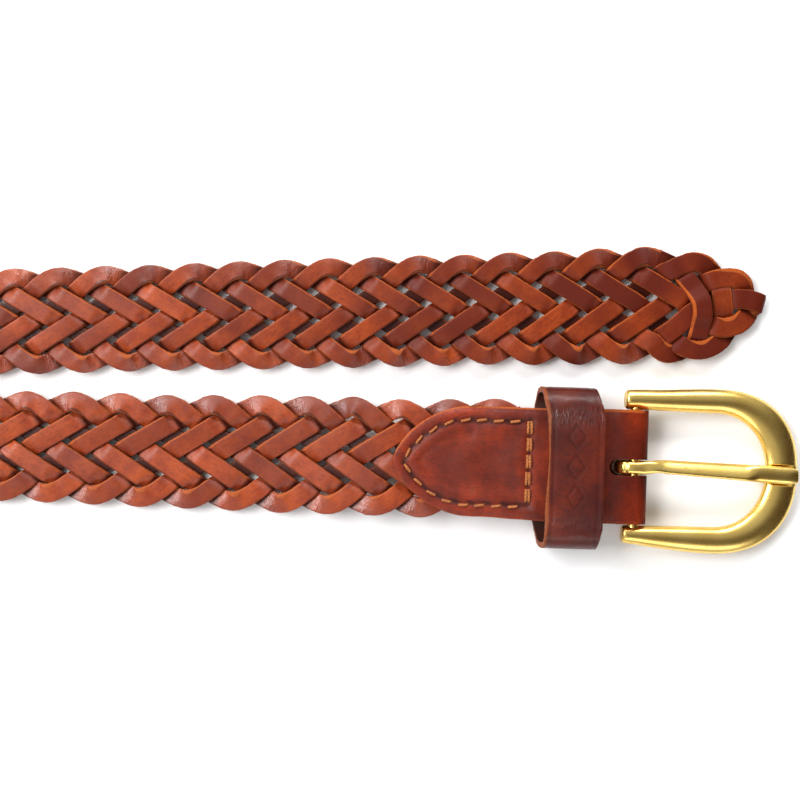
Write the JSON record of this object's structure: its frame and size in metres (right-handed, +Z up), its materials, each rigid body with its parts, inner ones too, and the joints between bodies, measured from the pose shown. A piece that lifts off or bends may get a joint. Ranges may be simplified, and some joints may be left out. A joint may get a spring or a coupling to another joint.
{
  "type": "leather belt",
  "caption": "Braided leather strap folded back on itself, with a woven pointed tip, a stitched chape, a leather keeper loop and a horseshoe buckle with a swinging prong.",
  "frame": {"origin": "middle of the laid-out belt's footprint, on the surface that it lies on", "axes": "+X along the buckle's run towards the buckle, +Y towards the tip's run, +Z up out of the strap's face"},
  "size_m": [0.5403, 0.0958, 0.0351],
  "materials": {
    "lace_leather": "glossy, oiled bridle leather",
    "chape_leather": "satin, grained",
    "keeper_leather": "satin, grained",
    "thread": "waxed linen thread",
    "brass": "satin"
  },
  "bodies": {
    "strap": {"lace_1": "lace_leather", "lace_2": "lace_leather", "lace_3": "lace_leather", "lace_4": "lace_leather", "lace_5": "lace_leather", "lace_6": "lace_leather", "lace_7": "lace_leather"},
    "tip_run": {"lace_1_tip": "lace_leather", "lace_2_tip": "lace_leather", "lace_3_tip": "lace_leather", "lace_4_tip": "lace_leather", "lace_5_tip": "lace_leather", "lace_6_tip": "lace_leather", "lace_7_tip": "lace_leather"},
    "buckle_end": {"lace_1_buckle_end": "lace_leather", "lace_2_buckle_end": "lace_leather", "lace_3_buckle_end": "lace_leather", "lace_4_buckle_end": "lace_leather", "lace_5_buckle_end": "lace_leather", "lace_6_buckle_end": "lace_leather", "lace_7_buckle_end": "lace_leather", "chape": "chape_leather", "chape_filler": "chape_leather", "tongue_stitching": "thread", "cross_stitching": "thread"},
    "keeper": {"keeper": "keeper_leather", "keeper_staple": "brass"},
    "buckle": {"buckle_frame": "brass", "buckle_bar": "brass"},
    "prong": {"prong": "brass"}
  },
  "joints": [
    {"name": "tip_flex", "type": "hinge", "parent": "strap", "child": "tip_run", "pos_m": [0.05905, 0.01991, 0.0042], "axis": [0.059, -0.9983, 0], "range_deg": [0, 70]},
    {"name": "buckle_flex", "type": "hinge", "parent": "strap", "child": "buckle_end", "pos_m": [0.0669, -0.021, 0.0042], "axis": [0, -1, 0], "range_deg": [0, 70]},
    {"name": "keeper_slide", "type": "slide", "parent": "buckle_end", "child": "keeper", "axis": [-1, 0, 0], "range_m": [-0.002, 0.03]},
    {"name": "buckle_swing", "type": "hinge", "parent": "buckle_end", "child": "buckle", "pos_m": [0.2194, -0.021, 0.0063], "axis": [0, -1, 0], "range_deg": [-75, 30]},
    {"name": "prong_swing", "type": "hinge", "parent": "buckle", "child": "prong", "pos_m": [0.2194, -0.021, 0.0063], "axis": [0, -1, 0], "range_deg": [0, 70]}
  ]
}
